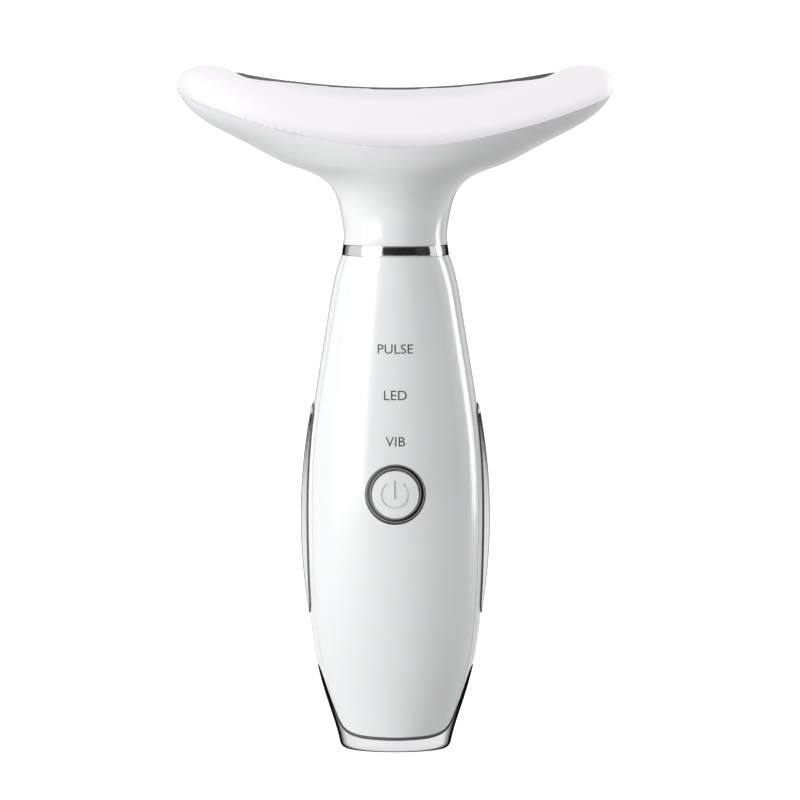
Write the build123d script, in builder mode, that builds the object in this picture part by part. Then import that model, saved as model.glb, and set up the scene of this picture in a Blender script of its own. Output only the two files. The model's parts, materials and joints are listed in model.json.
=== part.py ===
"""Skin scrubber: a T-shaped neck and face massager with a crescent heated head, built piece by piece.

Frame: millimetres, +Z up along the handle, front (the button side) faces -Y, +X to the right.
Origin: centre of the flat chrome base that the device stands on.
"""
import os
from math import cos, radians, sin, tan

from build123d import *

# ---- driving dimensions ------------------------------------------------------------------------
WALL = 2.4                 # thickness of the handle shells
CAP_SKIN = 1.25            # thickness of the chrome base cap around the shells
SEAM_FRONT_Y = -5.7        # rear edge of the front shell
SEAM_BACK_Y = -5.5         # front edge of the back shell
HANDLE_TOP = 118.8
RING_HEIGHT = 2.5
NECK_START = HANDLE_TOP + RING_HEIGHT + 0.1
SPIGOT_R = 9.0             # tube of the head that plugs into the handle
SPIGOT_BORE_R = 7.6
SPIGOT_BOTTOM = 111.5
GROOVE_R = 8.3             # groove in the spigot that the shells grip
HEAD_FLOOR_Z = 139.5

# outer form of the handle: height, half width, half depth
HANDLE = (
    (0.0, 13.1, 11.3),
    (8.0, 15.15, 12.4),
    (18.0, 18.2, 13.9),
    (34.0, 20.6, 15.3),
    (56.0, 21.3, 15.8),
    (82.0, 19.7, 15.0),
    (101.0, 16.7, 13.6),
    (HANDLE_TOP, 12.9, 12.3),
)
# neck and underside of the head: it flares from the round neck into two wings
FLARE = (
    (NECK_START, 12.6, 12.1),
    (127.0, 12.75, 12.3),
    (131.5, 13.7, 13.0),
    (135.0, 15.4, 14.4),
    (137.6, 18.4, 15.8),
    (140.5, 25.8, 17.3),
    (145.0, 34.6, 18.7),
    (149.3, 42.9, 19.2),
    (153.6, 48.9, 19.2),
    (158.0, 51.9, 19.2),
    (163.0, 52.3, 19.2),
)
# upper part of the head: steep sides that round over towards the tips
DOME = (
    (141.0, 52.9, 20.2),
    (145.1, 52.8, 19.0),
    (150.4, 52.6, 17.2),
    (155.0, 52.4, 15.3),
    (158.6, 52.3, 13.4),
    (161.0, 52.1, 11.8),
    (163.0, 51.2, 10.2),
    (165.8, 48.5, 7.6),
)
# parting line between the light diffuser and the head base, seen from the front: x, height
PARTING = ((0.0, 145.1), (23.0, 147.9), (42.0, 153.2), (54.0, 158.0))
# upper edge of the chrome base cap, seen from the front: x, height
CRADLE = ((0.0, 3.0), (5.5, 3.15), (9.5, 3.6), (12.0, 4.7), (14.0, 8.0), (16.2, 13.8), (18.8, 20.5))
# crescent of the top, measured from the middle of its front lip: x, rise
CRESCENT = (
    (0.0, 0.0), (18.0, 0.9), (26.0, 1.75), (32.0, 2.35), (36.0, 3.2), (39.5, 5.0), (44.0, 6.3), (49.5, 5.6), (54.0, 0.3),
)
TOP_TILT = 5.0             # the top leans back by this angle, in degrees
LIP = (0.0, -13.0, 158.9)  # middle of the front lip

PLATE_HALF_LENGTH = 38.0
PLATE_HALF_WIDTH = 11.2
PLATE_SIDE_R = 103.0       # radius of the plate's long edges, seen from above
PLATE_CORNER_R = 4.5
PLATE_RING_R = 180.0       # radius of the hollow curve along the plate
PLATE_CROWN_R = 400.0      # radius of the rounded curve across the plate
PLATE_RISE = 0.5           # middle of the plate above the front lip
PLATE_THICK = 0.8
SKIRT_DEPTH = 2.2
GASKET_LIP = 0.4
SEAL_HEIGHT = 0.8          # dark seal between the shells and the base cap

BUTTON_Z = 62.4
BUTTON_R = 5.6
BEZEL_R = 7.25
BEZEL_BORE_R = 5.75
BUTTON_TRAVEL = 0.4
INDICATOR_Z = (97.0, 86.0, 75.0)

BOARD_FRONT_Y = -6.4
BOARD_BACK_Y = -5.2
CHASSIS_FRONT_Y = -5.0
CHASSIS_BACK_Y = -3.6
SIDE_BOSS = (12.1, 31.0)
TOP_BOSS_Z = 105.5

CELL_R = 7.1
CELL_BOTTOM = 31.0
CELL_TOP = 81.0
CELL_Y = 4.3

MOTOR_Y = -2.4
MOTOR_R = 5.2
MOTOR_BOTTOM = 124.0
MOTOR_TOP = 139.0
SLEEVE_R = 6.4
SHAFT_R = 0.75

LED_BOARD_Z = 149.4
LED_BOARD_TOP = 150.4
POST_X = 27.0
CABLE_AT = (4.6, 4.4)

STRIP_HALF_WIDTH = 2.6
STRIP_LOW = (20.8, 33.2)   # lower end, middle and upper end of a strip's outer face: x, height
STRIP_MIDDLE = (22.7, 57.5)
STRIP_HIGH = (20.1, 82.8)
STRIP_SEAL = 0.45          # width of the dark seal round a strip
STRIP_CROWN_R = 18.0
STUDS = ((46.0, 21.1), (70.0, 20.7))

CAP_SCREW_X = 8.5
PORT_WIDTH = 8.94
PORT_DEPTH = 3.26
PORT_WALL = 0.3


# ---- helpers -----------------------------------------------------------------------------------
def oval_stack(stations, inset=0.0, foot_r=0.0):
    """A smooth solid through level ovals, each given as height, half width and half depth."""
    with BuildPart() as form:
        for height, half_width, half_depth in stations:
            with BuildSketch(Plane.XY.offset(height)):
                Ellipse(half_width - inset, half_depth - inset)
        loft()
        if foot_r:
            fillet(form.faces().sort_by(Axis.Z)[0].edges(), radius=foot_r)
    return form.part


def region_beyond(points, far, plane=Plane.XZ, lift=0.0):
    """Everything between a symmetrical curve and the level line at far, seen along the plane."""
    right = [(x, z + lift) for x, z in points]
    left = [(-x, z) for x, z in reversed(right[1:])]
    side = 70.0
    end_z = right[-1][1]
    with BuildPart() as region:
        with BuildSketch(plane):
            with BuildLine():
                Spline(left + right)
                Polyline(right[-1], (side, end_z), (side, far), (-side, far), (-side, end_z), left[0])
            make_face()
        extrude(amount=45, both=True)
    return region.part


def block(low, high):
    """A plain block between two opposite corners."""
    with BuildPart() as solid:
        with Locations(tuple((a + b) / 2 for a, b in zip(low, high))):
            Box(high[0] - low[0], high[1] - low[1], high[2] - low[2])
    return solid.part


def rod(start, end, radius):
    """A round bar from one point to another."""
    start, end = Vector(start), Vector(end)
    with BuildPart() as bar:
        with BuildSketch(Plane(start, z_dir=end - start)):
            Circle(radius)
        extrude(amount=(end - start).length)
    return bar.part


def lead(points, radius, bend):
    """A round wire along straight runs joined by arcs."""
    with BuildPart() as cable:
        with BuildLine() as route:
            FilletPolyline(*points, radius=bend)
        with BuildSketch(Plane(route.line @ 0, z_dir=route.line % 0)):
            Circle(radius)
        sweep()
    return cable.part


def plate_prism(grow=0.0):
    """A tall prism over the massage plate's outline: two long arcs cut off by rounded ends."""
    with BuildPart() as prism:
        with BuildSketch(Plane.XY.offset(140)) as outline:
            with Locations((0, PLATE_SIDE_R - PLATE_HALF_WIDTH)):
                Circle(PLATE_SIDE_R + grow)
            with Locations((0, PLATE_HALF_WIDTH - PLATE_SIDE_R)):
                Circle(PLATE_SIDE_R + grow, mode=Mode.INTERSECT)
            Rectangle(2 * (PLATE_HALF_LENGTH + grow), 60, mode=Mode.INTERSECT)
            fillet(outline.vertices(), radius=PLATE_CORNER_R + min(grow, 0))
        extrude(amount=35)
    return prism.part


def plate_layer(upper, lower):
    """A saddle-shaped layer between two depths under the plate's face."""
    reach = 18.0
    with BuildPart() as layer:
        with BuildSketch(PLATE_PLANE):
            with BuildLine():
                drop = reach ** 2 / (2 * PLATE_CROWN_R)
                ThreePointArc((-reach, -upper - drop), (0, -upper), (reach, -upper - drop))
                Line((reach, -upper - drop), (reach, -lower - drop))
                ThreePointArc((reach, -lower - drop), (0, -lower), (-reach, -lower - drop))
                Line((-reach, -lower - drop), (-reach, -upper - drop))
            make_face()
        revolve(axis=Axis(PLATE_PLANE.from_local_coords((0, PLATE_RING_R)), PLATE_PLANE.x_dir))
    return layer.part


def slot_prism(side, grow=0.0):
    """A prism across the handle over a side strip's outline: a long slot seen from the side."""
    middle_z = (STRIP_LOW[1] + STRIP_HIGH[1]) / 2
    length = STRIP_HIGH[1] - STRIP_LOW[1]
    with BuildPart() as prism:
        with BuildSketch(Plane(origin=(side * 12, 0, middle_z), x_dir=(0, 0, 1), z_dir=(side, 0, 0))):
            SlotOverall(length + 2 * grow, 2 * (STRIP_HALF_WIDTH + grow))
        extrude(amount=16)
    return prism.part


def strip_body(side):
    """The bulging outer form of a side strip: a crowned disc far larger than the strip."""
    with BuildLine(mode=Mode.PRIVATE):
        arc = ThreePointArc(STRIP_LOW, STRIP_MIDDLE, STRIP_HIGH)
    centre = arc.arc_center
    radius = arc.radius
    half = 9.0
    drop = half ** 2 / (2 * STRIP_CROWN_R)
    with BuildPart() as disc:
        with BuildSketch(Plane(origin=(side * centre.X, 0, centre.Y), x_dir=(side, 0, 0), z_dir=(0, 0, side))):
            with BuildLine():
                ThreePointArc((radius - drop, -half), (radius, 0), (radius - drop, half))
                Polyline((radius - drop, half), (0, half), (0, -half), (radius - drop, -half))
            make_face()
        revolve(axis=Axis((side * centre.X, 0, centre.Y), (0, 1, 0)))
    return disc.part


# the crescent's plane: its normal points to the front, tipped up by the tilt of the top
TILT = radians(TOP_TILT)
TOP_PLANE = Plane(origin=LIP, x_dir=(1, 0, 0), z_dir=(0, -cos(TILT), sin(TILT)))
# a plane across the plate: x runs from front to back along the tilted top, y points up
PLATE_MIDDLE = (0, 0, LIP[2] + LIP[1] * tan(TILT) + PLATE_RISE)
PLATE_PLANE = Plane(origin=PLATE_MIDDLE, x_dir=(0, cos(TILT), -sin(TILT)), z_dir=(1, 0, 0))

# ---- shared forms ------------------------------------------------------------------------------
handle_form = oval_stack(HANDLE, foot_r=2.0)
handle_core = oval_stack(HANDLE, CAP_SKIN + 0.05)
handle_hollow = oval_stack(HANDLE, WALL)
handle_recess = oval_stack(HANDLE, 1.15)
seam_lip_outer = oval_stack(HANDLE, WALL + 0.1)
seam_lip_inner = oval_stack(HANDLE, WALL + 1.1)
below_cradle = region_beyond(CRADLE, -20)
below_cradle_gap = region_beyond(CRADLE, -20, lift=SEAL_HEIGHT)
flare_form = oval_stack(FLARE)
flare_hollow = oval_stack(FLARE, 2.2)
dome_form = oval_stack(DOME)
dome_hollow = oval_stack(DOME, 1.8)
above_crescent = region_beyond(CRESCENT, 30, TOP_PLANE)
below_top_wall = region_beyond(CRESCENT, -35, TOP_PLANE, lift=-4.6)
above_parting = region_beyond(PARTING, 180, lift=0.01)
above_parting_gap = region_beyond(PARTING, 180, lift=-0.01)
left_strip_form = strip_body(-1)
right_strip_form = strip_body(1)

with BuildPart() as cap_zone:
    add(below_cradle_gap)
    add(handle_core, mode=Mode.SUBTRACT)

with BuildPart() as handle_room:
    add(handle_hollow)
    add(block((-40, -40, 116.4), (40, 40, 130)), mode=Mode.SUBTRACT)
    add(block((-40, -40, 113.9), (40, 40, 115.1)), mode=Mode.SUBTRACT)

# the two handle shells in one: hollow, stepped in under the base cap, closed round the spigot
with BuildPart() as shells:
    add(handle_form)
    add(cap_zone.part, mode=Mode.SUBTRACT)
    add(block((-40, -40, -1), (40, 40, 1.6)), mode=Mode.SUBTRACT)
    add(handle_room.part, mode=Mode.SUBTRACT)
    add(rod((0, 0, 105), (0, 0, 125), GROOVE_R + 0.1), mode=Mode.SUBTRACT)
    add(rod((0, 0, 115.1), (0, 0, 125), SPIGOT_R + 0.1), mode=Mode.SUBTRACT)

with BuildPart() as head_room:
    add(dome_hollow)
    add(below_top_wall, mode=Mode.INTERSECT)

with BuildPart() as base_room:
    add(flare_hollow)
    add(block((-60, -40, HEAD_FLOOR_Z), (60, 40, 175)), mode=Mode.INTERSECT)

os.makedirs("parts", exist_ok=True)

# ---- head: light diffuser ----------------------------------------------------------------------
with BuildPart() as light_diffuser:
    add(dome_form)
    add(above_crescent, mode=Mode.SUBTRACT)
    add(above_parting, mode=Mode.INTERSECT)
    add(head_room.part, mode=Mode.SUBTRACT)
    add(plate_prism(GASKET_LIP + 0.05) & plate_layer(-20, SKIRT_DEPTH + 0.4), mode=Mode.SUBTRACT)
    add(plate_prism(-1.8), mode=Mode.SUBTRACT)
light_diffuser.part.label = "light_diffuser"
export_step(light_diffuser.part, "parts/light_diffuser.step")

# ---- head: massage plate, a shallow steel tray with a turned-down rim --------------------------
with BuildPart() as massage_plate:
    add(plate_prism())
    add(plate_layer(0, SKIRT_DEPTH), mode=Mode.INTERSECT)
    add(plate_prism(-0.7) & plate_layer(PLATE_THICK, 10), mode=Mode.SUBTRACT)
massage_plate.part.label = "massage_plate"
export_step(massage_plate.part, "parts/massage_plate.step")

# a dark seal under the plate's rim, turned up round its edge
with BuildPart() as plate_gasket:
    add(plate_prism(GASKET_LIP))
    add(plate_prism(-1.7), mode=Mode.SUBTRACT)
    add(plate_layer(0.1, SKIRT_DEPTH + 0.4), mode=Mode.INTERSECT)
    add(plate_prism() & plate_layer(-10, SKIRT_DEPTH), mode=Mode.SUBTRACT)
plate_gasket.part.label = "plate_gasket"
export_step(plate_gasket.part, "parts/plate_gasket.step")

with BuildPart() as heater_film:
    add(plate_prism(-1.6))
    add(plate_layer(PLATE_THICK, PLATE_THICK + 0.25), mode=Mode.INTERSECT)
heater_film.part.label = "heater_film"
export_step(heater_film.part, "parts/heater_film.step")

# the carrier fills the tray and goes down through the diffuser's opening
with BuildPart() as plate_carrier:
    add(plate_prism(-2.0))
    add(plate_layer(PLATE_THICK + 0.25, PLATE_THICK + 3.2), mode=Mode.INTERSECT)
    add(block((-4.0, -3.0, 140), (4.0, 3.0, 170)), mode=Mode.SUBTRACT)
plate_carrier.part.label = "plate_carrier"
export_step(plate_carrier.part, "parts/plate_carrier.step")

# a bead thermistor in the carrier's window, touching the heater film
with BuildPart() as temperature_sensor:
    with Locations((0, 0, PLATE_MIDDLE[2] - PLATE_THICK - 1.35)):
        Cylinder(0.9, 5.0, rotation=(0, 90, 0))
temperature_sensor.part.label = "temperature_sensor"
export_step(temperature_sensor.part, "parts/temperature_sensor.step")

# ---- head: light board -------------------------------------------------------------------------
with BuildPart() as led_board:
    with BuildSketch(Plane.XY.offset(LED_BOARD_Z)):
        Ellipse(38, 14.2)
        with Locations((POST_X, 0), (-POST_X, 0)):
            Circle(0.95, mode=Mode.SUBTRACT)
    extrude(amount=LED_BOARD_TOP - LED_BOARD_Z)
led_board.part.label = "led_board"
export_step(led_board.part, "parts/led_board.step")

with BuildPart() as photon_leds:
    with Locations(Location((0, 0, LED_BOARD_TOP + 0.5))):
        with GridLocations(6.0, 16.0, 8, 2):
            Box(2.8, 2.8, 1.0)
photon_leds.part.label = "photon_leds"
export_step(photon_leds.part, "parts/photon_leds.step")

with BuildPart() as led_board_screws:
    with Locations((POST_X, 0, LED_BOARD_TOP), (-POST_X, 0, LED_BOARD_TOP)):
        Cylinder(1.7, 1.3, align=(Align.CENTER, Align.CENTER, Align.MIN))
        Cylinder(0.8, 5.0, align=(Align.CENTER, Align.CENTER, Align.MAX))
led_board_screws.part.label = "led_board_screws"
export_step(led_board_screws.part, "parts/led_board_screws.step")

with BuildPart() as head_connector:
    add(block((CABLE_AT[0] - 2.5, CABLE_AT[1] - 1.6, 147.2), (CABLE_AT[0] + 2.5, CABLE_AT[1] + 1.6, LED_BOARD_Z)))
head_connector.part.label = "head_connector"
export_step(head_connector.part, "parts/head_connector.step")

# ---- head: base with the neck and the spigot that plugs into the handle ------------------------
with BuildPart() as head_posts:
    for side in (-1, 1):
        add(rod((side * POST_X, 0, 136), (side * POST_X, 0, LED_BOARD_Z), 3.0))
    add(flare_form, mode=Mode.INTERSECT)
    for side in (-1, 1):
        add(rod((side * POST_X, 0, 145.2), (side * POST_X, 0, 151), 0.8), mode=Mode.SUBTRACT)

with BuildPart() as head_base:
    add(flare_form)
    add(above_parting_gap, mode=Mode.SUBTRACT)
    add(base_room.part, mode=Mode.SUBTRACT)
    add(head_posts.part)
    add(rod((0, 0, SPIGOT_BOTTOM), (0, 0, NECK_START + 0.2), SPIGOT_R))
    add(rod((0, 0, SPIGOT_BOTTOM - 1), (0, 0, 122), SPIGOT_BORE_R), mode=Mode.SUBTRACT)
    add(rod((0, 0, 113.7), (0, 0, 115.3), 12) - rod((0, 0, 113), (0, 0, 116), GROOVE_R), mode=Mode.SUBTRACT)
    add(rod((0, MOTOR_Y, 121.5), (0, MOTOR_Y, HEAD_FLOOR_Z + 3), SLEEVE_R + 0.05), mode=Mode.SUBTRACT)
    add(rod((*CABLE_AT, 121.5), (*CABLE_AT, HEAD_FLOOR_Z + 3), 1.3), mode=Mode.SUBTRACT)
head_base.part.label = "head_base"
export_step(head_base.part, "parts/head_base.step")

# ---- neck: vibration motor with its eccentric weight -------------------------------------------
with BuildPart() as motor_can:
    add(rod((0, MOTOR_Y, MOTOR_BOTTOM), (0, MOTOR_Y, MOTOR_TOP), MOTOR_R))
    fillet(motor_can.edges().filter_by(GeomType.CIRCLE), radius=0.6)
    add(rod((0, MOTOR_Y, MOTOR_TOP), (0, MOTOR_Y, MOTOR_TOP + 0.8), 2.2))
    add(rod((0, MOTOR_Y, 133), (0, MOTOR_Y, 142), SHAFT_R + 0.05), mode=Mode.SUBTRACT)
motor_can.part.label = "motor_can"
export_step(motor_can.part, "parts/motor_can.step")

with BuildPart() as motor_sleeve:
    add(rod((0, MOTOR_Y, MOTOR_BOTTOM), (0, MOTOR_Y, MOTOR_TOP - 0.6), SLEEVE_R))
    add(rod((0, MOTOR_Y, MOTOR_BOTTOM - 1), (0, MOTOR_Y, MOTOR_TOP + 1), MOTOR_R), mode=Mode.SUBTRACT)
motor_sleeve.part.label = "motor_sleeve"
export_step(motor_sleeve.part, "parts/motor_sleeve.step")

with BuildPart() as motor_shaft:
    add(rod((0, MOTOR_Y, 133.4), (0, MOTOR_Y, 146.6), SHAFT_R))
motor_shaft.part.label = "motor_shaft"
export_step(motor_shaft.part, "parts/motor_shaft.step")

# a half disc with a hub round the shaft
with BuildPart() as eccentric_weight:
    with BuildSketch(Plane.XY.offset(141.2)):
        with Locations((0, MOTOR_Y)):
            Circle(4.6)
        with Locations((0, MOTOR_Y + 5)):
            Rectangle(12, 10, mode=Mode.SUBTRACT)
        with Locations((0, MOTOR_Y)):
            Circle(1.9)
            Circle(SHAFT_R, mode=Mode.SUBTRACT)
    extrude(amount=4.8)
eccentric_weight.part.label = "eccentric_weight"
export_step(eccentric_weight.part, "parts/eccentric_weight.step")

# ---- neck ring ---------------------------------------------------------------------------------
with BuildPart() as neck_ring:
    add(oval_stack(((HANDLE_TOP + 0.05, 12.85, 12.25), (HANDLE_TOP + 0.05 + RING_HEIGHT, 12.5, 12.0))))
    add(rod((0, 0, 115), (0, 0, 125), SPIGOT_R + 0.05), mode=Mode.SUBTRACT)
neck_ring.part.label = "neck_ring"
export_step(neck_ring.part, "parts/neck_ring.step")

# ---- handle: front shell -----------------------------------------------------------------------
with BuildPart() as seam_lip:
    add(seam_lip_outer)
    add(seam_lip_inner, mode=Mode.SUBTRACT)
    add(block((-40, -7.5, 22), (40, -4.4, 112)), mode=Mode.INTERSECT)

# joins the lip to the shell in front of the seam
with BuildPart() as seam_lip_root:
    add(handle_core)
    add(seam_lip_inner, mode=Mode.SUBTRACT)
    add(block((-40, -7.5, 22), (40, SEAM_FRONT_Y - 0.1, 112)), mode=Mode.INTERSECT)

with BuildPart() as front_shell:
    add(shells.part)
    add(block((-40, SEAM_FRONT_Y, -5), (40, 40, 130)), mode=Mode.SUBTRACT)
    add(seam_lip_root.part)
    add(seam_lip.part)
    add(rod((0, -30, BUTTON_Z), (0, 0, BUTTON_Z), BEZEL_R), mode=Mode.SUBTRACT)
front_shell.part.label = "front_shell"
export_step(front_shell.part, "parts/front_shell.step")

# ---- handle: back shell with its screw bosses and board shelves --------------------------------
with BuildPart() as back_bosses:
    for side in (-1, 1):
        add(rod((side * SIDE_BOSS[0], 20, SIDE_BOSS[1]), (side * SIDE_BOSS[0], CHASSIS_BACK_Y, SIDE_BOSS[1]), 2.8))
        add(rod((side * CAP_SCREW_X, 0, 1.6), (side * CAP_SCREW_X, 0, 12), 2.4))
        add(block((side * 11.0 - 2.5, -0.6, 1.6), (side * 11.0 + 2.5, 0.6, 12)))
    add(rod((0, 20, TOP_BOSS_Z), (0, CHASSIS_BACK_Y, TOP_BOSS_Z), 2.8))
    for low in (4.0, 12.0):
        add(block((-5, 2.75, low), (5, 20, low + 1.5)))
    add(handle_core, mode=Mode.INTERSECT)
    for side in (-1, 1):
        boss_x, boss_z = side * SIDE_BOSS[0], SIDE_BOSS[1]
        add(rod((boss_x, 5, boss_z), (boss_x, -10, boss_z), 0.8), mode=Mode.SUBTRACT)
        add(rod((side * CAP_SCREW_X, 0, 0), (side * CAP_SCREW_X, 0, 9), 0.8), mode=Mode.SUBTRACT)
    add(rod((0, 5, TOP_BOSS_Z), (0, -10, TOP_BOSS_Z), 0.8), mode=Mode.SUBTRACT)

with BuildPart() as back_shell:
    add(shells.part)
    add(block((-40, -40, -5), (40, SEAM_BACK_Y, 130)), mode=Mode.SUBTRACT)
    add(back_bosses.part)
    for side in (-1, 1):
        add(slot_prism(side, STRIP_SEAL + 0.1) - handle_recess, mode=Mode.SUBTRACT)
        for stud_z, edge_x in STUDS:
            add(rod((side * 12, 0, stud_z), (side * 24, 0, stud_z), 1.15), mode=Mode.SUBTRACT)
back_shell.part.label = "back_shell"
export_step(back_shell.part, "parts/back_shell.step")

# ---- handle: chrome side strips, each with two studs held by spring washers --------------------
for label, side, form in (("left_side_strip", -1, left_strip_form), ("right_side_strip", 1, right_strip_form)):
    with BuildPart() as side_strip:
        add(form)
        add(slot_prism(side), mode=Mode.INTERSECT)
        add(oval_stack(HANDLE, 1.0), mode=Mode.SUBTRACT)
        for stud_z, edge_x in STUDS:
            add(rod((side * (edge_x - 4.6), 0, stud_z), (side * (edge_x - 0.3), 0, stud_z), 1.1))
    side_strip.part.label = label
    export_step(side_strip.part, f"parts/{label}.step")

# dark seals that stand a little proud round the strips
with BuildPart() as strip_seals:
    for side in (-1, 1):
        add(slot_prism(side, STRIP_SEAL + 0.05) - slot_prism(side, 0.05))
    add(oval_stack(HANDLE, -0.35), mode=Mode.INTERSECT)
    add(handle_recess, mode=Mode.SUBTRACT)
strip_seals.part.label = "strip_seals"
export_step(strip_seals.part, "parts/strip_seals.step")

with BuildPart() as strip_clips:
    for side in (-1, 1):
        for stud_z, edge_x in STUDS:
            inner, outer = side * (edge_x - 3.3), side * (edge_x - 2.8)
            add(rod((inner, 0, stud_z), (outer, 0, stud_z), 2.3) - rod((side * 10, 0, stud_z), (side * 24, 0, stud_z), 1.1))
strip_clips.part.label = "strip_clips"
export_step(strip_clips.part, "parts/strip_clips.step")

# ---- base cap and its screws -------------------------------------------------------------------
with BuildPart() as cap_room:
    add(oval_stack(HANDLE, CAP_SKIN))
    add(block((-40, -40, -1), (40, 40, 1.5)), mode=Mode.SUBTRACT)

with BuildPart() as base_cap:
    add(handle_form)
    add(below_cradle, mode=Mode.INTERSECT)
    add(cap_room.part, mode=Mode.SUBTRACT)
    with BuildSketch(Plane.XY.offset(-1)):
        SlotOverall(PORT_WIDTH + 0.4, PORT_DEPTH + 0.4)
    extrude(amount=4, mode=Mode.SUBTRACT)
    with Locations(Plane((CAP_SCREW_X, 0, 0), z_dir=(0, 0, -1)), Plane((-CAP_SCREW_X, 0, 0), z_dir=(0, 0, -1))):
        CounterSinkHole(radius=1.1, counter_sink_radius=2.1, depth=3)
base_cap.part.label = "base_cap"
export_step(base_cap.part, "parts/base_cap.step")

# a dark seal that fills the joint between the cap and the shells, a little below their surface
with BuildPart() as cap_seal:
    add(oval_stack(HANDLE, 0.3))
    add(handle_core, mode=Mode.SUBTRACT)
    add(below_cradle_gap, mode=Mode.INTERSECT)
    add(below_cradle, mode=Mode.SUBTRACT)
cap_seal.part.label = "cap_seal"
export_step(cap_seal.part, "parts/cap_seal.step")

with BuildPart() as base_screws:
    for side in (-1, 1):
        with BuildSketch(Plane.XZ.shift_origin((side * CAP_SCREW_X, 0, 0))):
            with BuildLine():
                Polyline((0, 0.1), (1.9, 0.1), (0.8, 1.2), (0.8, 8), (0, 8.6), (0, 0.1))
            make_face()
        revolve(axis=Axis((side * CAP_SCREW_X, 0, 0), (0, 0, 1)))
        with BuildSketch(Plane.XY.offset(-0.5)):
            with Locations((side * CAP_SCREW_X, 0)):
                RegularPolygon(0.7, 6)
        extrude(amount=1.4, mode=Mode.SUBTRACT)
base_screws.part.label = "base_screws"
export_step(base_screws.part, "parts/base_screws.step")

# ---- charging socket and its board -------------------------------------------------------------
with BuildPart() as usb_shell:
    with BuildSketch(Plane.XY.offset(0.4)):
        SlotOverall(PORT_WIDTH, PORT_DEPTH)
        SlotOverall(PORT_WIDTH - 2 * PORT_WALL, PORT_DEPTH - 2 * PORT_WALL, mode=Mode.SUBTRACT)
    extrude(amount=7.3)
    with BuildSketch(Plane.XY.offset(7.0)):
        SlotOverall(PORT_WIDTH - 0.1, PORT_DEPTH - 0.1)
    extrude(amount=0.7)
usb_shell.part.label = "usb_shell"
export_step(usb_shell.part, "parts/usb_shell.step")

with BuildPart() as usb_tongue:
    add(block((-3.35, -0.35, 1.6), (3.35, 0.35, 7.0)))
    chamfer(usb_tongue.edges().filter_by(Axis.X).group_by(Axis.Z)[0], length=0.2)
usb_tongue.part.label = "usb_tongue"
export_step(usb_tongue.part, "parts/usb_tongue.step")

with BuildPart() as charging_board:
    add(block((-5.6, PORT_DEPTH / 2, 2.2), (5.6, 2.75, 15.5)))
charging_board.part.label = "charging_board"
export_step(charging_board.part, "parts/charging_board.step")

with BuildPart() as charging_chip:
    add(block((-4.4, PORT_DEPTH / 2 - 0.9, 9.6), (-1.4, PORT_DEPTH / 2, 12.6)))
charging_chip.part.label = "charging_chip"
export_step(charging_chip.part, "parts/charging_chip.step")

with BuildPart() as charging_lead:
    add(lead(((3, PORT_DEPTH / 2, 13.0), (3, -2.4, 13.0), (3, -2.4, 29.3), (3, BOARD_BACK_Y, 29.3)), 0.5, 1.5))
charging_lead.part.label = "charging_lead"
export_step(charging_lead.part, "parts/charging_lead.step")

# ---- chassis between the main board and the cell -----------------------------------------------
with BuildPart() as chassis:
    add(block((-11, CHASSIS_FRONT_Y, 33), (11, CHASSIS_BACK_Y, 101.5)))
    add(block((-4, CHASSIS_FRONT_Y, 101), (4, CHASSIS_BACK_Y, 109)))
    for side in (-1, 1):
        near, far = sorted((side * 10.4, side * 14.3))
        add(block((near, CHASSIS_FRONT_Y, 28.2), (far, CHASSIS_BACK_Y, 36)))
        near, far = sorted((side * (CELL_R + 0.15), side * (CELL_R + 1.65)))
        add(block((near, CHASSIS_BACK_Y - 0.2, 36), (far, 3.5, 79)))
        add(rod((side * SIDE_BOSS[0], -8, SIDE_BOSS[1]), (side * SIDE_BOSS[0], 0, SIDE_BOSS[1]), 1.05), mode=Mode.SUBTRACT)
    add(rod((0, -8, TOP_BOSS_Z), (0, 0, TOP_BOSS_Z), 1.05), mode=Mode.SUBTRACT)
    add(block((-7, -8, 84.5), (7, 0, 88.5)), mode=Mode.SUBTRACT)
    add(block((-7, -8, 92.5), (7, 0, 100.5)), mode=Mode.SUBTRACT)
    for side in (-1, 1):
        add(rod((side * 8.0, -8, 57.6 + side * 16), (side * 8.0, -1.5, 57.6 + side * 16), 0.6), mode=Mode.SUBTRACT)
chassis.part.label = "chassis"
export_step(chassis.part, "parts/chassis.step")

with BuildPart() as chassis_screws:
    for x, z in ((-SIDE_BOSS[0], SIDE_BOSS[1]), (SIDE_BOSS[0], SIDE_BOSS[1]), (0, TOP_BOSS_Z)):
        add(rod((x, CHASSIS_FRONT_Y - 1.2, z), (x, CHASSIS_FRONT_Y, z), 1.8))
        add(rod((x, CHASSIS_FRONT_Y, z), (x, 3.0, z), 0.8))
chassis_screws.part.label = "chassis_screws"
export_step(chassis_screws.part, "parts/chassis_screws.step")

# ---- main board and what stands on it ----------------------------------------------------------
with BuildPart() as main_board:
    with BuildSketch(Plane.XZ.offset(-BOARD_BACK_Y)):
        with Locations((0, 65)):
            RectangleRounded(20, 76, 1.5)
        with Locations((8.0, 73.6), (-8.0, 41.6)):
            Circle(0.75, mode=Mode.SUBTRACT)
    extrude(amount=BOARD_BACK_Y - BOARD_FRONT_Y)
main_board.part.label = "main_board"
export_step(main_board.part, "parts/main_board.step")

with BuildPart() as board_screws:
    for x, z in ((8.0, 73.6), (-8.0, 41.6)):
        add(rod((x, BOARD_FRONT_Y - 0.9, z), (x, BOARD_FRONT_Y, z), 1.2))
        add(rod((x, BOARD_FRONT_Y, z), (x, -2.0, z), 0.6))
board_screws.part.label = "board_screws"
export_step(board_screws.part, "parts/board_screws.step")

with BuildPart() as controller_chip:
    add(block((-1.5, BOARD_FRONT_Y - 1.0, 42), (5.5, BOARD_FRONT_Y, 49)))
controller_chip.part.label = "controller_chip"
export_step(controller_chip.part, "parts/controller_chip.step")

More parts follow.
